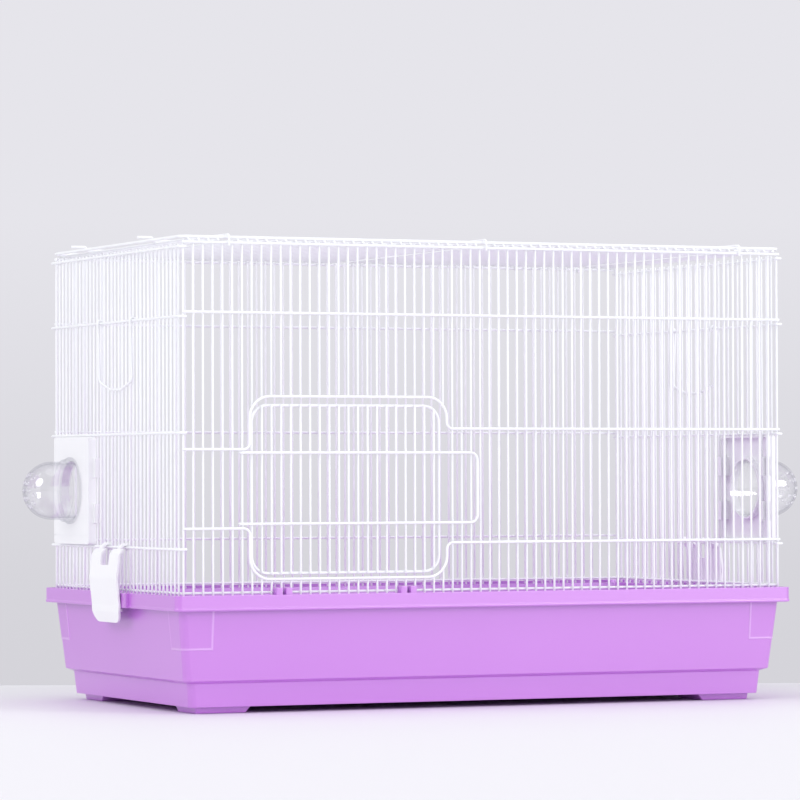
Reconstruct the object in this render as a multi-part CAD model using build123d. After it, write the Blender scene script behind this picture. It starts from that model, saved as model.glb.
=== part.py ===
from build123d import *
import math
import os

# A wire pet cage on a moulded tray. X runs along the length, -Y is the front, Z is up,
# and the origin is on the ground under the middle. All sizes are in millimetres.

# Wire box: planes of the uprights, and the spaces between them
cage_length = 600.0
cage_depth = 330.0
front_space_count = 64
end_space_count = 34
front_corner_inset = 2.4
end_corner_inset = 5.2

# Wire diameters, and the hair's breadth that stays between two wires at a weld
upright_diameter = 2.0
rail_diameter = 2.4
frame_diameter = 2.8
weld_gap = 0.01

# Running room between a loop of wire and the wire that it turns on
loop_clearance = 0.3

# Heights of the rails above the ground
top_rail_height = 416.5
upper_rail_height = 355.0
middle_rail_height = 252.6
lower_rail_height = 150.0
bottom_rail_height = 107.2
rail_stack_gap = 1.6
upright_overrun = 1.7
end_upright_overrun = 3.0
rail_overrun = 1.5
rail_hook_length = 7.0
rail_hook_bend = 3.0

# Doorway in the front panel, counted in uprights from the left corner
hinge_upright_number = 6
latch_upright_number = 28
doorway_side_gap = 6.4
doorway_bottom_height = 119.0
doorway_top_height = 281.0
doorway_corner_radius = 19.0
hinge_side_middle_height = 234.0
hinge_side_lower_height = 164.0
rail_bend_radius = 6.0
rail_jog_straight = 0.5

# Front door
door_hinge_gap = 0.6
door_latch_gap = 3.6
door_top_gap = 5.4
door_bottom_gap = 2.4
door_corner_radius = 15.0
door_upper_bar_gap = 0.6
door_lower_bar_gap = 1.6
door_tongue_length = 24.0
door_tongue_corner = 7.0
door_curl_turn = 230.0

# Roof panel
roof_seat_gap = 0.3
roof_corner_radius = 6.0
roof_cross_overrun = 3.0
roof_stay_spread = 174.0
roof_stay_rise = 3.1
roof_stay_reach = 11.0
roof_stay_gap = 1.0
roof_stay_bend = 1.5
roof_hook_spaces = (4, 31, 59)
roof_hook_drop = 10.0
roof_hook_bend = 3.2
roof_loop_turn = 200.0

# Tray
wall_thickness = 2.2
rim_thickness = 2.4
rim_end_gap = 5.5
rim_side_gap = 6.3
lip_rise = 2.8
rim_skirt_height = 13.7
ledge_height = 102.5
tray_end_proud = 1.0
tray_side_proud = 0.5
tray_draft_run = 7.4
step_height = 29.5
step_rise = 2.5
step_inset = 6.0
band_draft_run = 2.0
foot_height = 6.0
foot_length = 54.0
foot_width = 50.0
foot_inset = 7.5
foot_outer_draft = 0.8
foot_inner_draft = 5.6
tray_corner_radius = 7.0
rim_corner_radius = 6.5
corner_patch_width = 33.0
corner_patch_drop = 35.0
corner_patch_proud = 1.4
tooth_side_gap = 0.5
tooth_height = 9.0
tooth_clearance = 0.3
tooth_spaces = (9, 10, 22, 23)

# Spaces that the bail, the clip and the catch sit off the middle of each end, away from the tube port
fitting_shift_spaces = 1

# Catch on each end of the rim, and the clip that hooks under it
catch_width = 90.0
catch_depth = 3.05
clip_width = 70.0
clip_thickness = 2.4
clip_window_width = 22.0
clip_window_height = 130.0
clip_finger_gap = 0.5
clip_finger_space = 2
clip_finger_length = 3.8
clip_bottom_height = 78.0
clip_bulge = 2.6
clip_bulge_height = 118.0
clip_tuck = 2.5
clip_shoulder_height = 139.5
clip_corner_radius = 14.0
clip_brow_bend = 2.4
clip_shoulder_bend = 4.8
clip_bulge_bend = 19.2
clip_waist_bend = 4.8
clip_catch_clearance = 0.4
toe_width = 54.0
toe_height = 3.2
toe_reach = 3.4
toe_clearance = 0.8

# Tube port in each end panel: plate and clear bubble
port_offset = 94.0
port_open_spaces = 8
plate_overlap = 9.4
plate_depth = 8.0
plate_wall = 2.0
plate_clearance = 0.3
plate_corner_radius = 3.0
plate_groove_height = 8.0
plate_groove_depth = 0.6
plate_groove_width = 1.0
tab_height = 18.0
tab_spread = 42.0
tab_width = 3.4
tab_reach = 4.6
barb_depth = 1.2
barb_width = 2.4
ear_width = 4.0
ear_thickness = 3.0
ear_slot_width = 1.4
ear_slot_height = 11.0
bubble_radius = 27.0
bubble_wall = 1.5
dome_stand = 11.6
collar_thickness = 2.0
collar_length = 7.5
bubble_flange_width = 2.0
bubble_flange_thickness = 2.0
spigot_overrun = 0.4
spigot_clearance = 0.3
vent_diameter = 3.4
vent_ring_counts = (6, 11)
vent_ring_radii = (8.0, 15.0)

# Bail for a water bottle on each end panel
bail_space = 4
bail_drop = 54.0
bail_bottom_drop = 61.5
bail_bottom_width = 26.0
bail_shoulder_bend = 5.0
bail_bottom_bend = 14.0
bail_rest_gap = 0.3
bail_curl_turn = 230.0

# Radii and planes that follow from the sizes above
upright_radius = upright_diameter / 2
rail_radius = rail_diameter / 2
frame_radius = frame_diameter / 2
rail_offset = upright_radius + rail_radius + weld_gap
end_plane = cage_length / 2
front_plane = cage_depth / 2
front_half = end_plane - front_corner_inset
end_half = front_plane - end_corner_inset
front_pitch = 2 * front_half / front_space_count
end_pitch = 2 * end_half / end_space_count
fitting_shift = -fitting_shift_spaces * end_pitch
upright_top_height = top_rail_height + upright_overrun
rim_top = ledge_height + lip_rise
rim_bottom = rim_top - rim_skirt_height
end_rail_drop = rail_diameter + rail_stack_gap
end_top_rail = top_rail_height - end_rail_drop
end_upper_rail = upper_rail_height - end_rail_drop
end_middle_rail = middle_rail_height - end_rail_drop
end_lower_rail = lower_rail_height - end_rail_drop


def front_x(number):
    """Place along X of a front or back upright, or of a space at a half number."""
    return -front_half + front_pitch * number


def end_y(number):
    """Place along Y of an end panel's upright, or of a space at a half number."""
    return -end_half + end_pitch * number


def rod(start, end, radius):
    """One straight length of round wire."""
    axis = Vector(end) - Vector(start)
    return Solid.make_cylinder(radius, axis.length, Plane(Vector(start), z_dir=axis))


def bent_wire(path, radius):
    """Round wire along a bent path."""
    section = Plane(path @ 0, z_dir=path % 0) * Circle(radius)
    return sweep(section, path=path).solid()


def arc_about(centre, across, upwards, radius, start, turn):
    """Arc round a centre, in the plane of two unit vectors, in degrees."""
    def point(angle):
        cosine = math.cos(math.radians(angle))
        sine = math.sin(math.radians(angle))
        return Vector(centre) + Vector(across) * radius * cosine + Vector(upwards) * radius * sine
    half = start + turn / 2
    first = ThreePointArc(point(start), point(start + turn / 4), point(half))
    second = ThreePointArc(point(half), point(start + turn * 3 / 4), point(start + turn))
    return [first.edge(), second.edge()]


def joined(*pieces):
    """One path from polylines and lists of arcs, in order."""
    edges = []
    for piece in pieces:
        edges += piece if isinstance(piece, list) else piece.edges()
    return Wire(edges)


def turned(shape):
    """The same shape at the right end: half a turn about the Z axis."""
    return shape.rotate(Axis.Z, 180)


def save(node, solids):
    """Write one node as a STEP file."""
    solids = solids if isinstance(solids, list) else [solids]
    shape = solids[0] if len(solids) == 1 else Compound(solids)
    export_step(shape, f"parts/{node}.step")


os.makedirs("parts", exist_ok=True)


# Tray: one moulding with a drafted wall, a step, a rim with a ledge for the wires, and feet
tray_top_length = cage_length + 2 * tray_end_proud
tray_top_width = cage_depth + 2 * tray_side_proud
band_inset = tray_draft_run + step_inset
foot_line_inset = band_inset + band_draft_run


def tray_section(length, width, height, radius):
    return Pos(0, 0, height) * RectangleRounded(length, width, radius)


def tray_ring(inset, height, grow):
    """Outline of the tray's outside, set in from its top edge, and grown outwards."""
    length = tray_top_length - 2 * inset + 2 * grow
    width = tray_top_width - 2 * inset + 2 * grow
    return tray_section(length, width, height, tray_corner_radius + grow)


def tray_loft(grow):
    """The tray below the rim as a full block, grown outwards on all sides."""
    top = tray_ring(0, ledge_height, grow)
    step_top = tray_ring(tray_draft_run, step_height - grow, grow)
    step_bottom = tray_ring(band_inset, step_height - step_rise - grow, grow)
    foot_line = tray_ring(foot_line_inset, foot_height - grow, grow)
    wall = loft([step_top, top], ruled=True)
    step = loft([step_bottom, step_top], ruled=True)
    band = loft([foot_line, step_bottom], ruled=True)
    return wall + step + band


rim_length = cage_length + 2 * (rim_end_gap + rim_thickness)
rim_width = cage_depth + 2 * (rim_side_gap + rim_thickness)
foot_line_length = tray_top_length - 2 * foot_line_inset
foot_line_width = tray_top_width - 2 * foot_line_inset

tray = tray_loft(0)
patch_zone = Box(rim_length, rim_width, corner_patch_drop)
patch_zone -= Box(rim_length, tray_top_width - 2 * corner_patch_width, corner_patch_drop)
patch_zone -= Box(tray_top_length - 2 * corner_patch_width, rim_width, corner_patch_drop)
tray += tray_loft(corner_patch_proud) & (Pos(0, 0, rim_bottom - corner_patch_drop / 2) * patch_zone)
rim_hollow_length = rim_length - 2 * rim_thickness
rim_hollow_width = rim_width - 2 * rim_thickness
rim_hollow_radius = rim_corner_radius - rim_thickness
seat = tray_section(rim_hollow_length, rim_hollow_width, ledge_height, rim_hollow_radius)
underside = tray_section(rim_hollow_length, rim_hollow_width, rim_bottom, rim_hollow_radius)
rim = extrude(tray_section(rim_length, rim_width, rim_bottom, rim_corner_radius), rim_skirt_height)
rim -= extrude(seat, lip_rise)
rim -= extrude(underside, ledge_height - rim_thickness - rim_bottom)
tray += rim
catch_height = rim_top - rim_bottom
for side in (-1, 1):
    catch = Box(catch_depth + rim_thickness, catch_width, catch_height)
    catch = fillet(catch.edges().filter_by(Axis.Z), rim_thickness / 2)
    catch_x = side * (rim_length / 2 + catch_depth / 2 - rim_thickness / 2)
    tray += Pos(catch_x, -side * fitting_shift, rim_bottom + catch_height / 2) * catch
tray -= tray_loft(-wall_thickness)
foot_draft = foot_outer_draft + foot_inner_draft
sole_shift = (foot_inner_draft - foot_outer_draft) / 2
for along in (-1, 1):
    for across in (-1, 1):
        foot_x = along * (foot_line_length / 2 - foot_inset - foot_length / 2)
        foot_y = across * (foot_line_width / 2 - foot_inset - foot_width / 2)
        foot_top = Pos(foot_x, foot_y, foot_height) * Rectangle(foot_length, foot_width)
        sole_x = foot_x + along * sole_shift
        sole_y = foot_y + across * sole_shift
        sole = Pos(sole_x, sole_y, 0) * Rectangle(foot_length - foot_draft, foot_width - foot_draft)
        tray += loft([sole, foot_top], ruled=True)
tooth_width = front_pitch - upright_diameter - 2 * tooth_side_gap
tooth_back = -front_plane + upright_radius - tooth_clearance
tooth_front = -rim_width / 2 + rim_thickness / 2
tooth_y = (tooth_back + tooth_front) / 2
for space in tooth_spaces:
    tooth = Box(tooth_width, tooth_back - tooth_front, tooth_height)
    tray += Pos(front_x(space + 0.5), tooth_y, ledge_height + tooth_height / 2) * tooth
save("tray", tray.solid())

# Front panel: uprights behind, rails outside, and a doorway that two of the rails are bent round
doorway_left = front_x(hinge_upright_number) + doorway_side_gap
doorway_right = front_x(latch_upright_number) - doorway_side_gap
front_rail_y = -front_plane - rail_offset
front_rail_half = front_half + rail_overrun


def arch_height(x, left, right, edge, corner_radius, upwards):
    """Height of a rounded opening's top (upwards 1) or bottom (-1) edge at a place along X."""
    into_corner = max(left + corner_radius - x, x - right + corner_radius, 0)
    rise = math.sqrt(max(corner_radius ** 2 - into_corner ** 2, 0))
    return edge - upwards * (corner_radius - rise)


whole_uprights = []
cut_uprights = []
for number in range(front_space_count + 1):
    x = front_x(number)
    bottom = (x, -front_plane, ledge_height)
    top = (x, -front_plane, upright_top_height)
    if hinge_upright_number < number < latch_upright_number:
        sill = arch_height(x, doorway_left, doorway_right, doorway_bottom_height, doorway_corner_radius, -1)
        head = arch_height(x, doorway_left, doorway_right, doorway_top_height, doorway_corner_radius, 1)
        cut_uprights.append(rod(bottom, (x, -front_plane, sill), upright_radius))
        cut_uprights.append(rod((x, -front_plane, head), top, upright_radius))
    else:
        whole_uprights.append(rod(bottom, top, upright_radius))
save("front_uprights", whole_uprights)
save("front_doorway_uprights", cut_uprights)


def front_point(x, height):
    return (x, front_rail_y, height)


def jog_lean(rail_height, edge_height):
    """Run along X of a rail's jog to the doorway's edge, which leans where it is too low for square bends."""
    bend_room = rail_bend_radius + doorway_corner_radius + rail_jog_straight
    slope = math.acos(max(1 - abs(edge_height - rail_height) / bend_room, 0))
    return bend_room * math.tan(slope / 2) * math.cos(slope)


def doorway_rail(hinge_side_height, edge_height, latch_side_height):
    """A front rail that is bent round the top or the bottom of the doorway."""
    path = FilletPolyline(
        front_point(-front_rail_half, hinge_side_height),
        front_point(doorway_left - jog_lean(hinge_side_height, edge_height), hinge_side_height),
        front_point(doorway_left, edge_height),
        front_point(doorway_right, edge_height),
        front_point(doorway_right + jog_lean(latch_side_height, edge_height), latch_side_height),
        front_point(front_rail_half, latch_side_height),
        radius=[rail_bend_radius, doorway_corner_radius, doorway_corner_radius, rail_bend_radius])
    return bent_wire(path, rail_radius)


middle_rail = doorway_rail(hinge_side_middle_height, doorway_top_height, middle_rail_height)
save("front_middle_rail", middle_rail)
lower_rail = doorway_rail(hinge_side_lower_height, doorway_bottom_height, lower_rail_height)
save("front_lower_rail", lower_rail)


def long_rail(y, height):
    return rod((-front_rail_half, y, height), (front_rail_half, y, height), rail_radius)


save("front_top_rail", long_rail(front_rail_y, top_rail_height))
save("front_upper_rail", long_rail(front_rail_y, upper_rail_height))
save("front_bottom_rail", long_rail(-front_plane + rail_offset, bottom_rail_height))

# Back panel: plain uprights and straight rails; the roof turns on its top rail
back_uprights = []
for number in range(front_space_count + 1):
    bottom = (front_x(number), front_plane, ledge_height)
    top = (front_x(number), front_plane, upright_top_height)
    back_uprights.append(rod(bottom, top, upright_radius))
save("back_uprights", back_uprights)
save("back_top_rail", long_rail(-front_rail_y, top_rail_height))
save("back_upper_rail", long_rail(-front_rail_y, upper_rail_height))
save("back_middle_rail", long_rail(-front_rail_y, middle_rail_height))
save("back_lower_rail", long_rail(-front_rail_y, lower_rail_height))
save("back_bottom_rail", long_rail(front_plane - rail_offset, bottom_rail_height))

# End panels, made at the left end and turned round for the right one: the rails' ends hook
# round the corner uprights, and the uprights are cut away behind the tube port
end_rail_x = -end_plane - rail_offset
hook_y = front_plane + rail_offset
first_port_upright = round((port_offset + end_half) / end_pitch - port_open_spaces / 2)
last_port_upright = first_port_upright + port_open_spaces
port_y = (end_y(first_port_upright) + end_y(last_port_upright)) / 2
port_z = (end_middle_rail + end_lower_rail) / 2
end_upright_top = end_top_rail + end_upright_overrun


def end_rail(height):
    hook_x = end_rail_x + rail_hook_length
    path = FilletPolyline((hook_x, -hook_y, height), (end_rail_x, -hook_y, height),
                          (end_rail_x, hook_y, height), (hook_x, hook_y, height), radius=rail_hook_bend)
    return bent_wire(path, rail_radius)


end_uprights = []
port_uprights = []
for number in range(end_space_count + 1):
    y = end_y(number)
    bottom = (-end_plane, y, ledge_height)
    top = (-end_plane, y, end_upright_top)
    if first_port_upright < number < last_port_upright:
        port_uprights.append(rod(bottom, (-end_plane, y, end_lower_rail + rail_radius), upright_radius))
        port_uprights.append(rod((-end_plane, y, end_middle_rail - rail_radius), top, upright_radius))
    else:
        end_uprights.append(rod(bottom, top, upright_radius))
bottom_rail_half = end_half + rail_overrun
end_bottom_x = -end_plane + rail_offset
end_bottom_rail = rod((end_bottom_x, -bottom_rail_half, bottom_rail_height),
                      (end_bottom_x, bottom_rail_half, bottom_rail_height), rail_radius)
end_panel = {
    "uprights": end_uprights,
    "port_uprights": port_uprights,
    "top_rail": [end_rail(end_top_rail)],
    "upper_rail": [end_rail(end_upper_rail)],
    "middle_rail": [end_rail(end_middle_rail)],
    "lower_rail": [end_rail(end_lower_rail)],
    "bottom_rail": [end_bottom_rail],
}

# Port plate: a shallow cover that fills the space between two rails, clipped on the uprights
plate_back = -end_plane - upright_radius - plate_clearance
plate_front = plate_back - plate_depth
plate_width = end_pitch * port_open_spaces + 2 * plate_overlap
plate_height = end_middle_rail - end_lower_rail - 2 * (rail_radius + plate_clearance)
bore_radius = bubble_radius + spigot_clearance
outwards = Plane((plate_back, port_y, port_z), x_dir=(0, -1, 0), z_dir=(-1, 0, 0))
plate = extrude(outwards * RectangleRounded(plate_width, plate_height, plate_corner_radius), plate_depth)
hollow_width = plate_width - 2 * plate_wall
hollow_height = plate_height - 2 * plate_wall
plate -= extrude(outwards * Rectangle(hollow_width, hollow_height), plate_depth - plate_wall)
plate += extrude(outwards * Circle(bore_radius + plate_wall), plate_depth)
plate -= extrude(outwards * Circle(bore_radius), plate_depth)
groove_z = port_z - plate_height / 2 + plate_groove_height
plate -= Pos(plate_front, port_y, groove_z) * Box(2 * plate_groove_depth, plate_width, plate_groove_width)
tab_length = plate_depth - plate_wall / 2 + tab_reach
for side in (-1, 1):
    edge_upright_y = port_y + side * end_pitch * port_open_spaces / 2
    tab_y = edge_upright_y + side * end_pitch / 2
    for level in (-1, 1):
        tab_z = port_z + level * tab_spread / 2
        tab = Box(tab_length, tab_width, tab_height)
        plate += Pos(plate_back + tab_reach - tab_length / 2, tab_y, tab_z) * tab
        barb = Box(barb_depth, barb_width, tab_height)
        barb_x = plate_back + tab_reach - barb_depth / 2
        plate += Pos(barb_x, tab_y - side * (tab_width + barb_width) / 2, tab_z) * barb
        ear = Box(ear_thickness, ear_width, tab_height)
        ear -= Box(ear_thickness, ear_slot_width, ear_slot_height)
        ear_y = port_y + side * (plate_width + ear_width) / 2
        plate += Pos(plate_back - ear_thickness / 2, ear_y, tab_z) * ear
end_panel["port_plate"] = [plate.solid()]

# Clear bubble: flange, collar, dome and a spigot that plugs the plate's bore
inner_radius = bubble_radius - bubble_wall
collar_radius = bubble_radius + collar_thickness
bubble_flange_radius = collar_radius + bubble_flange_width
flange_front = plate_clearance + bubble_flange_thickness
dome_centre = collar_length + dome_stand
spigot_length = plate_depth + spigot_overrun
with BuildSketch(Plane.XY) as bubble_half:
    with BuildLine():
        Polyline((-spigot_length, inner_radius), (-spigot_length, bubble_radius),
                 (plate_clearance, bubble_radius), (plate_clearance, bubble_flange_radius),
                 (flange_front, bubble_flange_radius), (flange_front, collar_radius),
                 (collar_length, collar_radius), (collar_length, bubble_radius),
                 (dome_centre, bubble_radius))
        CenterArc((dome_centre, 0), bubble_radius, 90, -90)
        Line((dome_centre + bubble_radius, 0), (dome_centre + inner_radius, 0))
        CenterArc((dome_centre, 0), inner_radius, 0, 90)
        Line((dome_centre, inner_radius), (-spigot_length, inner_radius))
    make_face()
bubble = revolve(bubble_half.sketch, axis=Axis.X)
vent = Solid.make_cylinder(vent_diameter / 2, bubble_radius + bubble_wall, Plane.YZ.offset(dome_centre))
for count, ring_radius in zip(vent_ring_counts, vent_ring_radii):
    for place in range(count):
        angle = math.radians(360 * place / count)
        bubble -= Pos(0, ring_radius * math.cos(angle), ring_radius * math.sin(angle)) * vent
bubble = Pos(plate_front, port_y, port_z) * Rot(0, 0, 180) * bubble
end_panel["bubble"] = [bubble.solid()]

# Bottle bail: a bent wire that curls round the upper rail and hangs against the uprights
curl_radius = rail_radius + loop_clearance + rail_radius
bail_y = end_y(end_space_count // 2 + bail_space + 0.5)
bail_rest_x = -end_plane - upright_radius - bail_rest_gap - rail_radius
bail_lean = math.atan((bail_rest_x - end_rail_x + curl_radius) / bail_bottom_drop)
leg_top_x = end_rail_x - curl_radius * math.cos(bail_lean)
leg_top_z = end_upper_rail - curl_radius * math.sin(bail_lean)


def bail_point(y, drop):
    """A point of the bail, which leans inwards as it drops."""
    return (leg_top_x + drop * math.tan(bail_lean), fitting_shift + y, leg_top_z - drop)


def bail_curl(y, start, turn):
    centre = (end_rail_x, fitting_shift + y, end_upper_rail)
    return arc_about(centre, (1, 0, 0), (0, 0, 1), curl_radius, start, turn)


leg_start = 180 + math.degrees(bail_lean)
bail_loop = FilletPolyline(
    bail_point(-bail_y, 0), bail_point(-bail_y, bail_drop),
    bail_point(-bail_bottom_width / 2, bail_bottom_drop),
    bail_point(bail_bottom_width / 2, bail_bottom_drop),
    bail_point(bail_y, bail_drop), bail_point(bail_y, 0),
    radius=[bail_shoulder_bend, bail_bottom_bend, bail_bottom_bend, bail_shoulder_bend])
bail_path = joined(bail_curl(-bail_y, leg_start - bail_curl_turn, bail_curl_turn), bail_loop,
                   bail_curl(bail_y, leg_start, -bail_curl_turn))
end_panel["bottle_bail"] = [bent_wire(bail_path, rail_radius)]

# Clip: a lever whose two fingers hang on the lower rail and whose toe hooks under the catch
catch_face = -rim_length / 2 - catch_depth
grip_x = catch_face - clip_catch_clearance - clip_thickness / 2
bulge_x = grip_x - clip_bulge
finger_reach = rail_radius + loop_clearance + clip_thickness / 2
toe_top = rim_bottom - toe_clearance
clip_path = FilletPolyline(
    (end_rail_x + finger_reach, 0, end_lower_rail - finger_reach),
    (end_rail_x + finger_reach, 0, end_lower_rail + finger_reach),
    (end_rail_x - finger_reach, 0, end_lower_rail + finger_reach),
    (grip_x, 0, clip_shoulder_height),
    (bulge_x, 0, clip_bulge_height),
    (grip_x, 0, toe_top + toe_height),
    (grip_x, 0, toe_top - toe_height),
    (grip_x + clip_tuck, 0, clip_bottom_height),
    radius=[finger_reach, clip_brow_bend, clip_shoulder_bend,
            clip_bulge_bend, clip_waist_bend, clip_waist_bend])
clip_start = Plane(clip_path @ 0, x_dir=(0, 1, 0), z_dir=clip_path % 0)
clip = sweep(clip_start * Rectangle(clip_width, clip_thickness), path=clip_path)
clip_top = end_lower_rail + finger_reach + clip_thickness
clip_outline = Plane((end_rail_x, 0, clip_bottom_height), x_dir=(0, -1, 0), z_dir=(-1, 0, 0))
outline_height = 2 * (clip_top - clip_bottom_height)
outline = Pos(0, outline_height / 2) * RectangleRounded(clip_width, outline_height, clip_corner_radius)
clip &= extrude(clip_outline * outline, clip_width, both=True)
window = Box(clip_width, clip_window_width, 2 * (clip_top - clip_window_height))
clip -= Pos(bulge_x, 0, clip_top) * window
finger_y = end_y(end_space_count // 2 + clip_finger_space + 0.5)
finger_width = end_pitch - upright_diameter - 2 * clip_finger_gap
rail_zone = Box(2 * (finger_reach + clip_finger_length), clip_width, 4 * finger_reach)
for side in (-1, 1):
    rail_zone -= Pos(0, side * finger_y, 0) * Box(clip_width, finger_width, clip_width)
clip -= Pos(end_rail_x, 0, end_lower_rail) * rail_zone
toe = Box(toe_reach + clip_thickness, toe_width, toe_height)
clip += Pos(grip_x + (toe_reach + clip_thickness) / 2, 0, toe_top - toe_height / 2) * toe
end_panel["clip"] = [(Pos(0, fitting_shift, 0) * clip).solid()]

for part_name, solids in end_panel.items():
    save(f"left_{part_name}", solids)
    save(f"right_{part_name}", [turned(solid) for solid in solids])

# Roof panel: cross wires, a border wire and two stays on top of them, and three long wires over the
# border that hook over the front top rail and loop round the back one, on which the roof opens
cross_height = top_rail_height + rail_radius + roof_seat_gap + upright_radius
roof_height = cross_height + upright_radius + frame_radius + weld_gap
hook_height = roof_height + frame_radius + upright_radius + weld_gap
stay_height = cross_height + rail_offset
border = Pos(0, 0, roof_height) * RectangleRounded(cage_length, cage_depth, roof_corner_radius)
save("roof_border", bent_wire(border.wire(), frame_radius))
cross_half = front_plane + roof_cross_overrun
hook_out = front_plane + rail_offset + rail_radius + loop_clearance + upright_radius
loop_radius = rail_radius + loop_clearance + upright_radius
cross_wires = []
hook_wires = []
for space in range(front_space_count):
    x = front_x(space + 0.5)
    if space in roof_hook_spaces:
        over = FilletPolyline(
            (x, -hook_out, hook_height - roof_hook_drop), (x, -hook_out, hook_height),
            (x, hook_out, hook_height), (x, hook_out, top_rail_height), radius=roof_hook_bend)
        round_rail = arc_about((x, front_plane + rail_offset, top_rail_height), (0, 1, 0), (0, 0, 1),
                               loop_radius, 0, -roof_loop_turn)
        hook_wires.append(bent_wire(joined(over, round_rail), upright_radius))
    else:
        front_end = (x, -cross_half, cross_height)
        cross_wires.append(rod(front_end, (x, cross_half, cross_height), upright_radius))
save("roof_cross_wires", cross_wires)
save("roof_hook_wires", hook_wires)
stays = []
stay_tip = end_plane + roof_stay_reach
stay_rise_x = end_plane - frame_radius - roof_stay_gap - rail_radius
stay_top = stay_height + roof_stay_rise
for side in (-1, 1):
    y = side * roof_stay_spread / 2
    stay_path = FilletPolyline(
        (-stay_tip, y, stay_top), (-stay_rise_x, y, stay_top), (-stay_rise_x, y, stay_height),
        (stay_rise_x, y, stay_height), (stay_rise_x, y, stay_top), (stay_tip, y, stay_top),
        radius=roof_stay_bend)
    stays.append(bent_wire(stay_path, rail_radius))
save("roof_stays", stays)

# Front door: a bent frame with its own uprights, and one U of wire that is hinge, brace and latch
hinge_x = front_x(hinge_upright_number)
hinge_radius = upright_radius + loop_clearance + rail_radius
bar_y = -front_plane - hinge_radius
door_upright_y = bar_y + rail_offset
door_frame_y = door_upright_y + upright_radius + frame_radius + weld_gap
frame_room = rail_radius + frame_radius
door_left = doorway_left + frame_room + door_hinge_gap
door_right = doorway_right - frame_room - door_latch_gap
door_top = doorway_top_height - frame_room - door_top_gap
door_bottom = doorway_bottom_height + frame_room + door_bottom_gap
upper_bar_height = hinge_side_middle_height - rail_diameter - door_upper_bar_gap
lower_bar_height = hinge_side_lower_height + rail_diameter + door_lower_bar_gap
door_plane = Plane(((door_left + door_right) / 2, door_frame_y, (door_bottom + door_top) / 2),
                   x_dir=(1, 0, 0), z_dir=(0, -1, 0))
door_outline = RectangleRounded(door_right - door_left, door_top - door_bottom, door_corner_radius)
save("door_frame", bent_wire((door_plane * door_outline).wire(), frame_radius))
door_uprights = []
for number in range(hinge_upright_number, latch_upright_number):
    x = front_x(number)
    if door_left + frame_diameter < x < door_right - frame_diameter:
        sill = arch_height(x, door_left, door_right, door_bottom, door_corner_radius, -1)
        head = arch_height(x, door_left, door_right, door_top, door_corner_radius, 1)
        door_uprights.append(rod((x, door_upright_y, sill), (x, door_upright_y, head), upright_radius))
save("door_uprights", door_uprights)
tongue_tip = front_x(latch_upright_number) + door_tongue_length


def hinge_curl(height, start, turn):
    return arc_about((hinge_x, -front_plane, height), (1, 0, 0), (0, 1, 0), hinge_radius, start, turn)


tongue = FilletPolyline(
    (hinge_x, bar_y, upper_bar_height), (tongue_tip, bar_y, upper_bar_height),
    (tongue_tip, bar_y, lower_bar_height), (hinge_x, bar_y, lower_bar_height),
    radius=door_tongue_corner)
latch_path = joined(hinge_curl(upper_bar_height, -90 - door_curl_turn, door_curl_turn), tongue,
                    hinge_curl(lower_bar_height, -90, -door_curl_turn))
save("door_latch_wire", bent_wire(latch_path, rail_radius))
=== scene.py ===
import math

import bmesh
import bpy
from mathutils import Matrix, Vector


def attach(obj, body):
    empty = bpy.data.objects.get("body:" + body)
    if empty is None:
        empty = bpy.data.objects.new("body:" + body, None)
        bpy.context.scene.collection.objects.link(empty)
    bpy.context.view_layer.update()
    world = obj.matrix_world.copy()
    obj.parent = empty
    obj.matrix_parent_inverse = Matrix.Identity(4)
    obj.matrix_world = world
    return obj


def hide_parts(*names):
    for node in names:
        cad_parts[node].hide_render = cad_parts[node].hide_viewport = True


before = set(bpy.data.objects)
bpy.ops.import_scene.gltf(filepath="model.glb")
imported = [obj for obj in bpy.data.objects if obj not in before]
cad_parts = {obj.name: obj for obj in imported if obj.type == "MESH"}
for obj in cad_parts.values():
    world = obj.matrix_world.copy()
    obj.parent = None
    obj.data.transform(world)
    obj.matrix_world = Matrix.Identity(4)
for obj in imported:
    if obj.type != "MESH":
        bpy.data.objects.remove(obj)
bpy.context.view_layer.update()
scene = bpy.context.scene
scene.view_settings.view_transform = "Standard"


# Tray: one injection moulding in glossy orchid-purple plastic. Its drafted wall stands on a step, a
# band and four feet, and a hollow rim carries the wires on a ledge and has a catch at each end.
class Shade:
    """One socket of a finish's nodes. Arithmetic on it adds Math nodes."""

    def __init__(self, tree, socket=None):
        self.tree = tree
        self.socket = socket

    def node(self, kind, settings=None, sockets=None, output=0):
        made = self.tree.nodes.new("ShaderNode" + kind)
        for name, value in (settings or {}).items():
            setattr(made, name, value)
        for name, value in (sockets or {}).items():
            if isinstance(value, Shade):
                self.tree.links.new(value.socket, made.inputs[name])
            else:
                made.inputs[name].default_value = value
        return Shade(self.tree, made.outputs[output] if made.outputs else None)

    def mix(self, share, first, second):
        """A colour between two: the first where the share is 0, the second where it is 1."""
        return self.node("Mix", {"data_type": "RGBA"}, {0: share, 6: first, 7: second}, output=2)

    def maths(self, operation, first, second):
        return self.node("Math", {"operation": operation}, {0: first, 1: second})

    def __add__(self, other):
        return self.maths("ADD", self, other)

    def __sub__(self, other):
        return self.maths("SUBTRACT", self, other)

    def __rsub__(self, other):
        return self.maths("SUBTRACT", other, self)

    def __mul__(self, other):
        return self.maths("MULTIPLY", self, other)

    def __gt__(self, other):
        return self.maths("GREATER_THAN", self, other)

    __radd__ = __add__
    __rmul__ = __mul__


def new_finish(name):
    material = bpy.data.materials.new(name)
    material.use_nodes = True
    material.node_tree.nodes.clear()
    return material, Shade(material.node_tree)


def screen_colour(red, green, blue):
    """A colour as it is seen on a screen, 0 to 255, in Blender's linear values."""
    def linear(value):
        value = value / 255
        return value / 12.92 if value <= 0.04045 else ((value + 0.055) / 1.055) ** 2.4
    return linear(red), linear(green), linear(blue), 1.0


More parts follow.
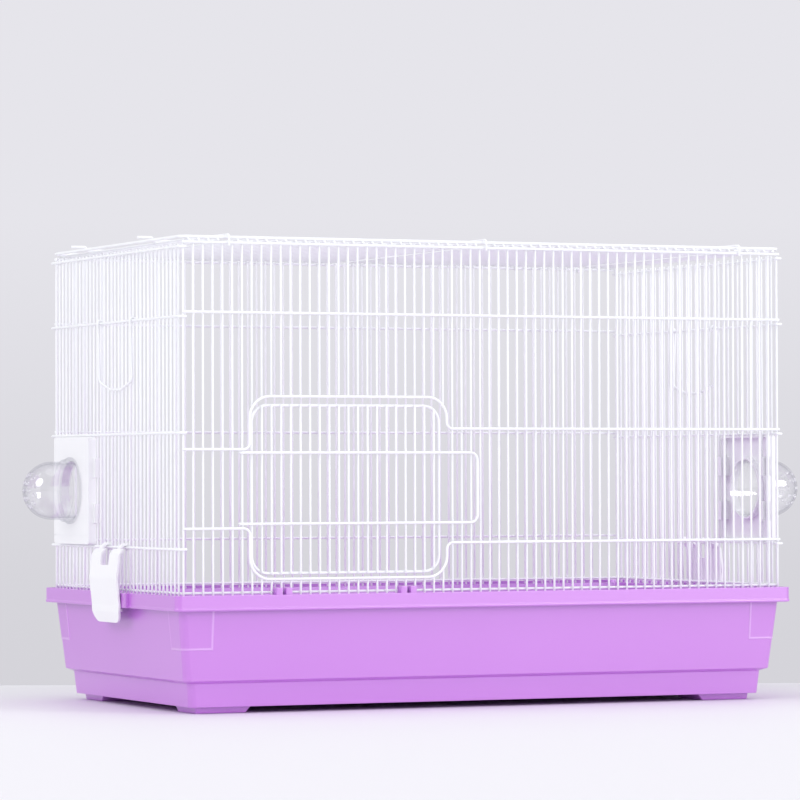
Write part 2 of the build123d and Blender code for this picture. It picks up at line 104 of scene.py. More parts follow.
def cage_piece(name, bm, finish, body, cad_nodes, crease=32, moulded=True):
    """Turn a bmesh into a shown piece that stands for its CAD nodes and rides on their body."""
    mesh = bpy.data.meshes.new(name)
    bm.to_mesh(mesh)
    bm.free()
    mesh.materials.append(finish)
    mesh.shade_smooth()
    mesh.set_sharp_from_angle(angle=math.radians(crease))
    made = bpy.data.objects.new(name, mesh)
    scene.collection.objects.link(made)
    if moulded:
        made.modifiers.new("flat_faces", "WEIGHTED_NORMAL").keep_sharp = True
    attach(made, body)
    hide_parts(*cad_nodes)
    return made


def edges_at(verts):
    return list({edge for vert in verts for edge in vert.link_edges})


def ahead_of(extruded):
    """The new vertices and the leading edges of an extrusion."""
    verts = {item for item in extruded if isinstance(item, bmesh.types.BMVert)}
    edges = [item for item in extruded if isinstance(item, bmesh.types.BMEdge) and verts.issuperset(item.verts)]
    return verts, edges


def corner_centre(vert, half_length, half_width, corner):
    return math.copysign(half_length - corner, vert.co.x), math.copysign(half_width - corner, vert.co.y)


def rounded_skin(bm, outlines):
    """Skin through rounded rectangles on the level, from half length, half width, height and corner."""
    sides = 48
    half_length, half_width, height, corner = outlines[0]
    place = Matrix.Translation((0, 0, height)) @ Matrix.Rotation(math.pi / sides, 4, "Z")
    verts = bmesh.ops.create_circle(bm, segments=sides, radius=corner, matrix=place)["verts"]
    for vert in verts:
        centre_x, centre_y = corner_centre(vert, half_length, half_width, corner)
        vert.co.x += centre_x
        vert.co.y += centre_y
    first = edges = edges_at(verts)
    for before, after in zip(outlines, outlines[1:]):
        verts, edges = ahead_of(bmesh.ops.extrude_edge_only(bm, edges=edges)["geom"])
        for vert in verts:
            old_x, old_y = corner_centre(vert, before[0], before[1], before[3])
            new_x, new_y = corner_centre(vert, after[0], after[1], after[3])
            scale = after[3] / before[3]
            vert.co = (new_x + (vert.co.x - old_x) * scale, new_y + (vert.co.y - old_y) * scale, after[2])
    return first, edges


def soften(bm, edges, radius):
    bmesh.ops.bevel(bm, geom=edges, offset=radius, offset_type="OFFSET", segments=2, profile=0.5,
                    affect="EDGES", clamp_overlap=True, material=-1)


def sharp_edges(bm, degrees):
    return [edge for edge in bm.edges
            if len(edge.link_faces) == 2 and edge.calc_face_angle() > math.radians(degrees)]


def block(bm, low, high, soft):
    """A moulded block with soft edges."""
    low, high = Vector(low), Vector(high)
    middle, size = (low + high) / 2, high - low
    place = Matrix.Translation(middle) @ Matrix.Diagonal((*size, 1))
    soften(bm, edges_at(bmesh.ops.create_cube(bm, size=1, matrix=place)["verts"]), soft)


first_upright_x, upright_space = -0.2976, 0.0093


def front_x(number):
    """Place of a long panel's upright, counted from the left. A half is the middle of a space."""
    return first_upright_x + upright_space * number


orchid_plastic, nodes = new_finish("orchid_plastic")
place = nodes.node("TexCoord", output="Object")
cloud = nodes.node("TexNoise", sockets={"Vector": place, "Scale": 4.0, "Detail": 3.0})
grain = nodes.node("TexNoise", sockets={"Vector": place, "Scale": 1500.0, "Detail": 2.0})
ridge_painted_highlight = nodes.node("Attribute", {"attribute_name": "ridge"}, output="Fac")
colour = nodes.mix(cloud, screen_colour(195, 109, 220), screen_colour(202, 118, 226))
# The ridge round each corner patch is mixed towards a paler purple: a painted highlight standing for the light
# its edges catch.
colour = nodes.mix(ridge_painted_highlight, colour, screen_colour(219, 157, 238))
bump = nodes.node("Bump", sockets={"Strength": 0.06, "Distance": 0.0001, "Height": grain})
surface = nodes.node("BsdfPrincipled", sockets={
    "Base Color": colour, "Roughness": cloud * 0.08 + 0.33, "Normal": bump, "IOR": 1.55,
    "Specular IOR Level": 0.9, "Coat Weight": 0.9, "Coat Roughness": 0.34, "Coat IOR": 1.9})
nodes.node("OutputMaterial", sockets={"Surface": surface})

rim_x, rim_bottom, rim_top, ledge_z = 0.3055, 0.0916, 0.1053, 0.1025
bm = bmesh.new()
floor_edges, foot_line_edges = rounded_skin(bm, (
    (0.2834, 0.1479, 0.0082, 0.0048),
    (0.2854, 0.1499, 0.0292, 0.0048),
    (0.2914, 0.1559, 0.0317, 0.0048),
    (0.2988, 0.1633, ledge_z, 0.0048),
    (rim_x, 0.1713, ledge_z, 0.0041),
    (rim_x, 0.1713, rim_top, 0.0041),
    (0.30735, 0.17315, rim_top, 0.00595),
    (0.30735, 0.17315, 0.0944, 0.00595),
    (0.3079, 0.1737, 0.0936, 0.0065),
    (0.3079, 0.1737, 0.0922, 0.0065),
    (0.30735, 0.17315, rim_bottom, 0.00595),
    (rim_x, 0.1713, rim_bottom, 0.0041),
    (rim_x, 0.1713, 0.1001, 0.0041),
    (0.30076, 0.16526, 0.1001, 0.0070),
    (0.2936, 0.1581, 0.0295, 0.0070),
    (0.2876, 0.1521, 0.0270, 0.0070),
    (0.2856, 0.1501, 0.0060, 0.0070),
))
bmesh.ops.contextual_create(bm, geom=floor_edges)
bmesh.ops.contextual_create(bm, geom=foot_line_edges)
bmesh.ops.recalc_face_normals(bm, faces=bm.faces)

step_z, under_rim_z, wall_reach_x, wall_reach_y = 0.03, 0.1, 0.302, 0.167


def wall_faces():
    """Faces of the wall's outside, between the step and the rim."""
    found = []
    for face in bm.faces:
        centre = face.calc_center_median()
        outside = face.normal.x * centre.x + face.normal.y * centre.y > 0
        inside_rim = abs(centre.x) < wall_reach_x and abs(centre.y) < wall_reach_y
        if outside and inside_rim and step_z < centre.z < under_rim_z:
            found.append(face)
    return found


# A ridge runs round the patch on each corner, and its faces carry a painted highlight, paler than the wall. It
# is made of three rings, each with a width, a rise and a share of painted highlight.
patch_bottom, patch_x, patch_y = 0.0566, 0.2680, 0.1325
ridge_up, ridge_crest, ridge_down = (0.0007, 0.0006, 0.5), (0.0011, 0, 1), (0.0007, -0.0003, 0.5)
painted_highlight_layer = bm.faces.layers.float.new("ridge")
cuts = [((0, 0, patch_bottom), (0, 0, 1))]
cuts += [((side * patch_x, 0, 0), (1, 0, 0)) for side in (-1, 1)]
cuts += [((0, side * patch_y, 0), (0, 1, 0)) for side in (-1, 1)]
for point, normal in cuts:
    walls = wall_faces()
    edges = {edge for face in walls for edge in face.edges}
    verts = {vert for face in walls for vert in face.verts}
    bmesh.ops.bisect_plane(bm, geom=[*walls, *edges, *verts], plane_co=point, plane_no=normal)
patches = []
for face in wall_faces():
    centre = face.calc_center_median()
    if centre.z > patch_bottom and abs(centre.x) > patch_x and abs(centre.y) > patch_y:
        patches.append(face)
for width, rise, highlight_share in (ridge_up, ridge_crest, ridge_down):
    ring = bmesh.ops.inset_region(bm, faces=patches, thickness=width, depth=rise, use_even_offset=True)
    for face in ring["faces"]:
        face[painted_highlight_layer] = highlight_share
soften(bm, sharp_edges(bm, 26), 0.0007)

catch_x, catch_front, catch_back = 0.31095, -0.0356, 0.0544
for side in (-1, 1):
    low_x, high_x = sorted((side * rim_x, side * catch_x))
    low_y, high_y = sorted((side * catch_front, side * catch_back))
    block(bm, (low_x, low_y, rim_bottom), (high_x, high_y, rim_top), 0.0011)

tooth_spaces, tooth_half, tooth_top = (9, 10, 22, 23), 0.00315, 0.1115
tooth_front, tooth_back = -0.1725, -0.1643
for space in tooth_spaces:
    x = front_x(space + 0.5)
    block(bm, (x - tooth_half, tooth_front, ledge_z), (x + tooth_half, tooth_back, tooth_top), 0.0008)

foot_out_x, foot_in_x, foot_out_y, foot_in_y, foot_top = 0.2781, 0.2241, 0.1426, 0.0926, 0.0065
out_draft, in_draft = 0.0008, 0.0056
for along in (-1, 1):
    for across in (-1, 1):
        foot = bmesh.ops.create_cube(bm, size=1)["verts"]
        for vert in foot:
            top = vert.co.z > 0
            draft = 0 if top else 1
            x = foot_out_x - out_draft * draft if vert.co.x * along > 0 else foot_in_x + in_draft * draft
            y = foot_out_y - out_draft * draft if vert.co.y * across > 0 else foot_in_y + in_draft * draft
            vert.co = (along * x, across * y, foot_top if top else 0)
        soften(bm, edges_at(foot), 0.0012)
cage_piece("tray_moulding", bm, orchid_plastic, "base", ["tray"])


# Front panel: drawn steel wire, spot-welded at every crossing and powder-coated white. The uprights
# stand on the tray's ledge, and two of the rails outside them are bent round the doorway.
class Bender:
    """Wire or strip that is fed out in straight runs and turned on formers."""

    step_degrees = 11

    def __init__(self, bm, edges, at, heading):
        self.bm = bm
        self.edges = edges
        self.at = Vector(at)
        self.heading = Vector(heading).normalized()

    def run(self, length):
        verts, self.edges = ahead_of(bmesh.ops.extrude_edge_only(self.bm, edges=self.edges)["geom"])
        bmesh.ops.translate(self.bm, verts=list(verts), vec=self.heading * length)
        self.at = self.at + self.heading * length

    def turn(self, degrees, radius, axis):
        axis = Vector(axis).normalized()
        side = math.copysign(radius, degrees)
        centre = self.at + axis.cross(self.heading) * side
        verts = list({vert for edge in self.edges for vert in edge.verts})
        steps = max(3, round(abs(degrees) / self.step_degrees))
        spun = bmesh.ops.spin(self.bm, geom=verts + self.edges, cent=centre, axis=axis, dvec=(0, 0, 0),
                              angle=math.radians(degrees), steps=steps, use_merge=False, use_duplicate=False)
        self.edges = [item for item in spun["geom_last"] if isinstance(item, bmesh.types.BMEdge)]
        rotation = Matrix.Rotation(math.radians(degrees), 3, axis)
        self.at = centre + rotation @ (self.at - centre)
        self.heading = rotation @ self.heading

    def follow(self, points, radii):
        """Run to each point in turn, with the corners bent."""
        points = [Vector(point) for point in points]
        for corner, after, radius in zip(points, points[1:], radii):
            onward = (after - corner).normalized()
            angle = self.heading.angle(onward)
            self.run((corner - self.at).length - radius * math.tan(angle / 2))
            self.turn(math.degrees(angle), radius, self.heading.cross(onward))
        self.run((points[-1] - self.at).length)

    def cut_off(self):
        bmesh.ops.contextual_create(self.bm, geom=self.edges)


def feed_wire(bm, start, heading, diameter, closed=False):
    heading = Vector(heading).normalized()
    place = Matrix.Translation(start) @ heading.to_track_quat("Z", "Y").to_matrix().to_4x4()
    ring = bmesh.ops.create_circle(bm, cap_ends=not closed, segments=12, radius=diameter / 2, matrix=place)
    return Bender(bm, edges_at(ring["verts"]), start, heading)


def straight_wire(bm, start, end, diameter):
    start, end = Vector(start), Vector(end)
    wire = feed_wire(bm, start, end - start, diameter)
    wire.run((end - start).length)
    wire.cut_off()


def weld(bm, place, size):
    """The bead of metal and powder that fills a crossing."""
    matrix = Matrix.Translation(place) @ Matrix.Diagonal((*size, 1))
    bmesh.ops.create_icosphere(bm, subdivisions=1, radius=1, matrix=matrix)


def wire_piece(node, bm, body="base"):
    bmesh.ops.recalc_face_normals(bm, faces=bm.faces)
    soften(bm, sharp_edges(bm, 65), 0.0003)
    cage_piece(node + "_coated", bm, powder_white, body, [node], crease=50, moulded=False)


powder_white, nodes = new_finish("powder_white")
place = nodes.node("TexCoord", output="Object")
cloud = nodes.node("TexNoise", sockets={"Vector": place, "Scale": 14.0, "Detail": 3.0})
peel = nodes.node("TexNoise", sockets={"Vector": place, "Scale": 1100.0, "Detail": 2.0})
colour = nodes.mix(cloud, screen_colour(247, 249, 252), screen_colour(252, 253, 254))
bump = nodes.node("Bump", sockets={"Strength": 0.25, "Distance": 0.0001, "Height": peel})
surface = nodes.node("BsdfPrincipled", sockets={
    "Base Color": colour, "Roughness": peel * 0.12 + 0.26, "Normal": bump, "Coat Weight": 0.15,
    "Coat Roughness": 0.2})
nodes.node("OutputMaterial", sockets={"Surface": surface})

upright_wire, rail_wire = 0.002, 0.0024
panel_y, outer_bead_y, inner_bead_y, outer_rail_y, inner_rail_y = 0.165, 0.1661, 0.1639, 0.16721, 0.16279
upright_top, rail_half = 0.4182, 0.2991
top_z, upper_z, middle_z, lower_z, bottom_z = 0.4165, 0.355, 0.2526, 0.150, 0.1072
hinge_middle_z, hinge_lower_z = 0.234, 0.164
long_panel_bead = (0.0013, 0.0009, 0.0013)
doorway_left, doorway_right, doorway_bottom, doorway_top = -0.2354, -0.0436, 0.119, 0.281
doorway_corner, jog_corner = 0.019, 0.006


def arch(x, left, right, edge, corner, upwards):
    """Height of the edge of an opening with rounded corners."""
    into = max(left + corner - x, x - right + corner, 0)
    return edge - upwards * (corner - math.sqrt(max(corner ** 2 - into ** 2, 0)))


def long_panel_upright(bm, number, side, lengths, levels):
    """An upright of the front (side -1) or back (side 1), with its beads on the rails."""
    x = front_x(number)
    for low, high in lengths:
        straight_wire(bm, (x, side * panel_y, low), (x, side * panel_y, high), upright_wire)
    for z in levels:
        weld(bm, (x, side * outer_bead_y, z), long_panel_bead)
    weld(bm, (x, side * inner_bead_y, bottom_z), long_panel_bead)


def straight_rail(node, y, z):
    bm = bmesh.new()
    straight_wire(bm, (-rail_half, y, z), (rail_half, y, z), rail_wire)
    wire_piece(node, bm)


upright_count = 65
hinge_side, doorway, latch_side = range(0, 7), range(7, 28), range(28, upright_count)
bm = bmesh.new()
for number in (*hinge_side, *latch_side):
    middle, lower = (hinge_middle_z, hinge_lower_z) if number in hinge_side else (middle_z, lower_z)
    long_panel_upright(bm, number, -1, [(ledge_z, upright_top)], (top_z, upper_z, middle, lower))
wire_piece("front_uprights", bm)
bm = bmesh.new()
for number in doorway:
    sill = arch(front_x(number), doorway_left, doorway_right, doorway_bottom, doorway_corner, -1)
    head = arch(front_x(number), doorway_left, doorway_right, doorway_top, doorway_corner, 1)
    long_panel_upright(bm, number, -1, [(ledge_z, sill), (head, upright_top)], (top_z, upper_z, head, sill))
wire_piece("front_doorway_uprights", bm)
for node, edge, left_z, right_z in (("front_middle_rail", doorway_top, hinge_middle_z, middle_z),
                                    ("front_lower_rail", doorway_bottom, hinge_lower_z, lower_z)):
    bm = bmesh.new()
    wire = feed_wire(bm, (-rail_half, -outer_rail_y, left_z), (1, 0, 0), rail_wire)
    wire.follow([(x, -outer_rail_y, z) for x, z in (
        (doorway_left, left_z), (doorway_left, edge), (doorway_right, edge), (doorway_right, right_z),
        (rail_half, right_z))], (jog_corner, doorway_corner, doorway_corner, jog_corner))
    wire.cut_off()
    wire_piece(node, bm)
straight_rail("front_top_rail", -outer_rail_y, top_z)
straight_rail("front_upper_rail", -outer_rail_y, upper_z)
straight_rail("front_bottom_rail", -inner_rail_y, bottom_z)


# Back panel: the same wire and welds as the front, with every upright whole and five straight rails.
# The roof's loops turn on its top rail.
bm = bmesh.new()
for number in range(upright_count):
    long_panel_upright(bm, number, 1, [(ledge_z, upright_top)], (top_z, upper_z, middle_z, lower_z))
wire_piece("back_uprights", bm)
straight_rail("back_top_rail", outer_rail_y, top_z)
straight_rail("back_upper_rail", outer_rail_y, upper_z)
straight_rail("back_middle_rail", outer_rail_y, middle_z)
straight_rail("back_lower_rail", outer_rail_y, lower_z)
straight_rail("back_bottom_rail", inner_rail_y, bottom_z)


# End panels: welded wire like the rest. The ends of their rails are bent into hooks that grip the
# corner uprights of the front and back panels, and the uprights are cut away at the tube port.
end_x, end_outer_bead_x, end_inner_bead_x = -0.3, -0.3011, -0.2989
end_rail_x, end_inner_rail_x, hook_tip_x = -0.30221, -0.29779, -0.29521
end_levels = {"top": 0.4125, "upper": 0.351, "middle": 0.2486, "lower": 0.146}
end_upright_top, end_rail_half, hook_bend = 0.4155, 0.1613, 0.003
port_sill, port_head = 0.1472, 0.2474
end_bead = (0.0009, 0.0013, 0.0013)
first_end_upright_y, end_upright_space = -0.1598, 0.0094
before_port, at_port, after_port = range(0, 24), range(24, 31), range(31, 35)


def end_upright(bm, number, lengths):
    y = first_end_upright_y + end_upright_space * number
    for low, high in lengths:
        straight_wire(bm, (end_x, y, low), (end_x, y, high), upright_wire)
    for z in end_levels.values():
        weld(bm, (end_outer_bead_x, y, z), end_bead)
    weld(bm, (end_inner_bead_x, y, bottom_z), end_bead)


def at_end(bm, end):
    """Pieces are made at the left end; the right end's are turned half round the middle."""
    if end == "right":
        bmesh.ops.rotate(bm, cent=(0, 0, 0), matrix=Matrix.Rotation(math.pi, 3, "Z"), verts=bm.verts)


for end in ("left", "right"):
    bm = bmesh.new()
    for number in (*before_port, *after_port):
        end_upright(bm, number, [(ledge_z, end_upright_top)])
    at_end(bm, end)
    wire_piece(end + "_uprights", bm)
    bm = bmesh.new()
    for number in at_port:
        end_upright(bm, number, [(ledge_z, port_sill), (port_head, end_upright_top)])
    at_end(bm, end)
    wire_piece(end + "_port_uprights", bm)
    for level, z in end_levels.items():
        bm = bmesh.new()
        wire = feed_wire(bm, (hook_tip_x, -outer_rail_y, z), (-1, 0, 0), rail_wire)
        wire.follow([(end_rail_x, -outer_rail_y, z), (end_rail_x, outer_rail_y, z),
                     (hook_tip_x, outer_rail_y, z)], (hook_bend, hook_bend))
        wire.cut_off()
        at_end(bm, end)
        wire_piece(f"{end}_{level}_rail", bm)
    bm = bmesh.new()
    straight_wire(bm, (end_inner_rail_x, -end_rail_half, bottom_z), (end_inner_rail_x, end_rail_half, bottom_z),
                  rail_wire)
    at_end(bm, end)
    wire_piece(end + "_bottom_rail", bm)


# Port plates: shallow white polypropylene covers with a bored collar and a groove along the bottom.
# Barbed tabs behind them snap round the uprights, and slotted ears stand at their sides.
white_plastic, nodes = new_finish("white_plastic")
place = nodes.node("TexCoord", output="Object")
cloud = nodes.node("TexNoise", sockets={"Vector": place, "Scale": 22.0, "Detail": 2.0})
grain = nodes.node("TexNoise", sockets={"Vector": place, "Scale": 1800.0, "Detail": 2.0})
colour = nodes.mix(cloud, screen_colour(246, 246, 249), screen_colour(251, 251, 253))
bump = nodes.node("Bump", sockets={"Strength": 0.15, "Distance": 0.0001, "Height": grain + cloud * 0.5})
surface = nodes.node("BsdfPrincipled", sockets={
    "Base Color": colour, "Roughness": cloud * 0.08 + grain * 0.06 + 0.24, "Normal": bump, "IOR": 1.49})
nodes.node("OutputMaterial", sockets={"Surface": surface})

port_y, port_z, plate_back = 0.0940, 0.1973, -0.3013
bore, plate_half_width, plate_half_height = 0.0273, 0.0470, 0.0498
plate_depth, plate_wall, plate_corner = 0.008, 0.002, 0.003
collar, well_depth, well_corner = bore + plate_wall, plate_depth - plate_wall, plate_corner / 2
well_half_width, well_half_height = plate_half_width - plate_wall, plate_half_height - plate_wall
groove, groove_half, groove_depth = 0.008 - plate_half_height, 0.0005, 0.0006
tab_x, tab_y, tab_half_width, tab_half_height = 0.0423, 0.021, 0.0017, 0.009
tab_root, barb_root, tab_tip, barb_reach = 0.007, -0.0034, -0.0046, 0.0041
ear_x, ear_depth, ear_bar_x, ear_bar_half = plate_half_width + 0.002, 0.003, 0.00135, 0.00065
bridge_y, bridge_half_width, bridge_half_height = 0.00725, 0.001, 0.0016
bridge_back, bridge_front = 0.0001, 0.0028


def close_seams(bm):
    bmesh.ops.remove_doubles(bm, verts=bm.verts, dist=0.00001)


def cut_across(bm, point, normal, trim=False):
    """Cut a line through the whole piece, and trim off what lies beyond it if asked."""
    bmesh.ops.bisect_plane(bm, geom=[*bm.verts, *bm.edges, *bm.faces], plane_co=point, plane_no=normal,
                           clear_outer=trim)


for end in ("left", "right"):
    bm = bmesh.new()
    rounded_skin(bm, (
        (bore, bore, 0, bore),
        (bore, bore, plate_depth, bore),
        (plate_half_width, plate_half_height, plate_depth, plate_corner),
        (plate_half_width, plate_half_height, 0, plate_corner),
        (well_half_width, well_half_height, 0, well_corner),
        (well_half_width, well_half_height, well_depth, well_corner),
        (collar, collar, well_depth, collar),
        (collar, collar, 0, collar),
        (bore, bore, 0, bore),
    ))
    close_seams(bm)
    bmesh.ops.recalc_face_normals(bm, faces=bm.faces)
    soften(bm, sharp_edges(bm, 40), 0.0005)
    for edge in (groove - groove_half, groove + groove_half):
        cut_across(bm, (0, edge, 0), (0, 1, 0))
    sunk = [face for face in bm.faces
            if face.normal.z > 0.9 and abs(face.calc_center_median().y - groove) < groove_half * 0.8]
    pressed = bmesh.ops.extrude_face_region(bm, geom=sunk)["geom"]
    bmesh.ops.translate(bm, verts=[item for item in pressed if isinstance(item, bmesh.types.BMVert)],
                        vec=(0, 0, -groove_depth))
    bmesh.ops.delete(bm, geom=sunk, context="FACES_ONLY")
    for side in (-1, 1):
        tab, ear = side * tab_x, side * ear_x
        barb_low, barb_high = sorted((tab - side * tab_half_width, tab - side * barb_reach))
        for level in (-tab_y, tab_y):
            top, bottom = level + tab_half_height, level - tab_half_height
            block(bm, (tab - tab_half_width, bottom, tab_tip), (tab + tab_half_width, top, tab_root), 0.0003)
            block(bm, (barb_low, bottom, tab_tip), (barb_high, top, barb_root), 0.0003)
            for x in (ear - ear_bar_x, ear + ear_bar_x):
                block(bm, (x - ear_bar_half, bottom, 0), (x + ear_bar_half, top, ear_depth), 0.0003)
            for y in (level - bridge_y, level + bridge_y):
                block(bm, (ear - bridge_half_width, y - bridge_half_height, bridge_back),
                      (ear + bridge_half_width, y + bridge_half_height, bridge_front), 0.0002)
    # The plate is made lying on its back, then stood up so that its face looks out of the end
    stand = Matrix.Translation((plate_back, port_y, port_z)) @ Matrix((
        (0, 0, -1, 0), (-1, 0, 0, 0), (0, 1, 0, 0), (0, 0, 0, 1)))
    bmesh.ops.transform(bm, matrix=stand, verts=bm.verts)
    at_end(bm, end)
    cage_piece(end + "_port_cover", bm, white_plastic, "base", [end + "_port_plate"])


# Bubbles: clear blow-moulded domes with a flange, a collar and a spigot that plugs the port's bore.
# A cluster of small round air holes is drilled through each tip.
clear_plastic, nodes = new_finish("clear_plastic")
place = nodes.node("TexCoord", output="Object")
ripple = nodes.node("TexNoise", sockets={"Vector": place, "Scale": 60.0, "Detail": 1.0})
haze = nodes.node("TexNoise", sockets={"Vector": place, "Scale": 400.0, "Detail": 3.0})
bump = nodes.node("Bump", sockets={"Strength": 0.2, "Distance": 0.0006, "Height": ripple})
edge_on = nodes.node("LayerWeight", sockets={"Blend": 0.5, "Normal": bump}, output="Facing")
edge_on = edge_on * edge_on
# Where the film is seen edge-on, its reflection is painted darker grey: painted shade standing for the dark
# outline of the dome.
colour = nodes.mix(edge_on, screen_colour(250, 250, 253), screen_colour(150, 149, 168))
cut = nodes.node("Attribute", {"attribute_name": "cut_edge"}, output="Fac")
surface = nodes.node("BsdfPrincipled", sockets={
    "Base Color": colour, "Metallic": 1 - cut, "Roughness": haze * 0.06 + 0.05, "Normal": bump,
    "Alpha": edge_on * edge_on * 0.68 + 0.1 + cut * 0.7})
nodes.node("OutputMaterial", sockets={"Surface": surface})

plate_front = plate_back - plate_depth
dome_centre, dome_outside, dome_inside = 0.0191, 0.027, 0.0255
spigot_end, flange_back, flange_front, neck_front = -0.0084, 0.0003, 0.0023, 0.0075
flange_radius, neck_radius = 0.031, 0.029
hole_rings, hole_radius = ((6, 0.008), (11, 0.015)), 0.0017
drill_middle, drill_length = 0.025, 0.016
arc_steps = 14
quarter = [math.radians(90 * step / arc_steps) for step in range(arc_steps + 1)]
outline = [(spigot_end, dome_inside), (spigot_end, dome_outside), (flange_back, dome_outside),
           (flange_back, flange_radius), (flange_front, flange_radius), (flange_front, neck_radius),
           (neck_front, neck_radius), (neck_front, dome_outside)]
for radius, turns in ((dome_outside, quarter), (dome_inside, quarter[::-1])):
    outline += [(dome_centre + radius * math.sin(turn), radius * math.cos(turn)) for turn in turns]
for end in ("left", "right"):
    bm = bmesh.new()
    verts = [bm.verts.new((-along, across, 0)) for along, across in outline]
    edges = [bm.edges.new(pair) for pair in zip(verts, verts[1:] + verts[:1])]
    bmesh.ops.spin(bm, geom=verts + edges, cent=(0, 0, 0), axis=(1, 0, 0), dvec=(0, 0, 0), angle=2 * math.pi,
                   steps=64, use_merge=True, use_duplicate=False)
    close_seams(bm)
    bmesh.ops.recalc_face_normals(bm, faces=bm.faces)
    bmesh.ops.translate(bm, verts=bm.verts, vec=(plate_front, port_y, port_z))
    at_end(bm, end)
    bubble = cage_piece(end + "_viewing_bubble", bm, clear_plastic, end + "_bubble",
                        [end + "_bubble"], moulded=False)
    drills = bmesh.new()
    for count, ring_radius in hole_rings:
        for number in range(count):
            turn = 2 * math.pi * number / count
            hole = Matrix.Translation((plate_front - dome_centre - drill_middle,
                                       port_y + ring_radius * math.cos(turn),
                                       port_z + ring_radius * math.sin(turn)))
            bmesh.ops.create_cone(drills, cap_ends=True, segments=14, radius1=hole_radius, radius2=hole_radius,
                                  depth=drill_length, matrix=hole @ Matrix.Rotation(math.pi / 2, 4, "Y"))
    at_end(drills, end)
    drill_mesh = bpy.data.meshes.new("drills")
    drills.to_mesh(drill_mesh)
    drills.free()
    drill = bpy.data.objects.new("drills", drill_mesh)
    scene.collection.objects.link(drill)
    drilling = bubble.modifiers.new("air_holes", "BOOLEAN")
    drilling.object = drill
    drilling.solver = "EXACT"
    shaped = bpy.data.meshes.new_from_object(bubble.evaluated_get(bpy.context.evaluated_depsgraph_get()))
    bubble.modifiers.clear()
    bubble.data = shaped
    cut_edge = shaped.attributes.new("cut_edge", "FLOAT", "FACE")
    for face in shaped.polygons:
        in_dome = abs(face.center.x) > abs(plate_front) + dome_centre
        cut_edge.data[face.index].value = float(in_dome and abs(face.normal.x) < 0.05)
    shaped.shade_smooth()
    shaped.set_sharp_from_angle(angle=math.radians(32))
    bpy.data.objects.remove(drill)


# Bottle bails: bent wire, coated like the panels. Each curls round the upper rail of its end panel at
# both ends and hangs against the uprights until a bottle's neck is hung in it.
fitting_y = -0.0094
bail_half, bail_curl, bail_curl_degrees = 0.0423, 0.0027, 230
bail_lean = math.radians(2.2441)
shoulder_drop, shoulder_bend = 0.054, 0.005
bottom_drop, bottom_half, bottom_bend = 0.0615, 0.013, 0.014
for end in ("left", "right"):
    bm = bmesh.new()
    start_turn = math.pi + bail_lean - math.radians(bail_curl_degrees)
    start = (end_rail_x + bail_curl * math.cos(start_turn), -bail_half,
             end_levels["upper"] + bail_curl * math.sin(start_turn))
    wire = feed_wire(bm, start, (-math.sin(start_turn), 0, math.cos(start_turn)), rail_wire)
    wire.turn(-bail_curl_degrees, bail_curl, (0, 1, 0))
    top = wire.at.copy()
    wire.follow([(top.x + drop * math.tan(bail_lean), y, top.z - drop) for drop, y in (
        (shoulder_drop, -bail_half), (bottom_drop, -bottom_half), (bottom_drop, bottom_half),
        (shoulder_drop, bail_half), (0, bail_half))], (shoulder_bend, bottom_bend, bottom_bend, shoulder_bend))
    wire.turn(bail_curl_degrees, bail_curl, (0, 1, 0))
    wire.cut_off()
    bmesh.ops.translate(bm, verts=bm.verts, vec=(0, fitting_y, 0))
    at_end(bm, end)
    wire_piece(end + "_bottle_bail", bm, end + "_bottle_bail")


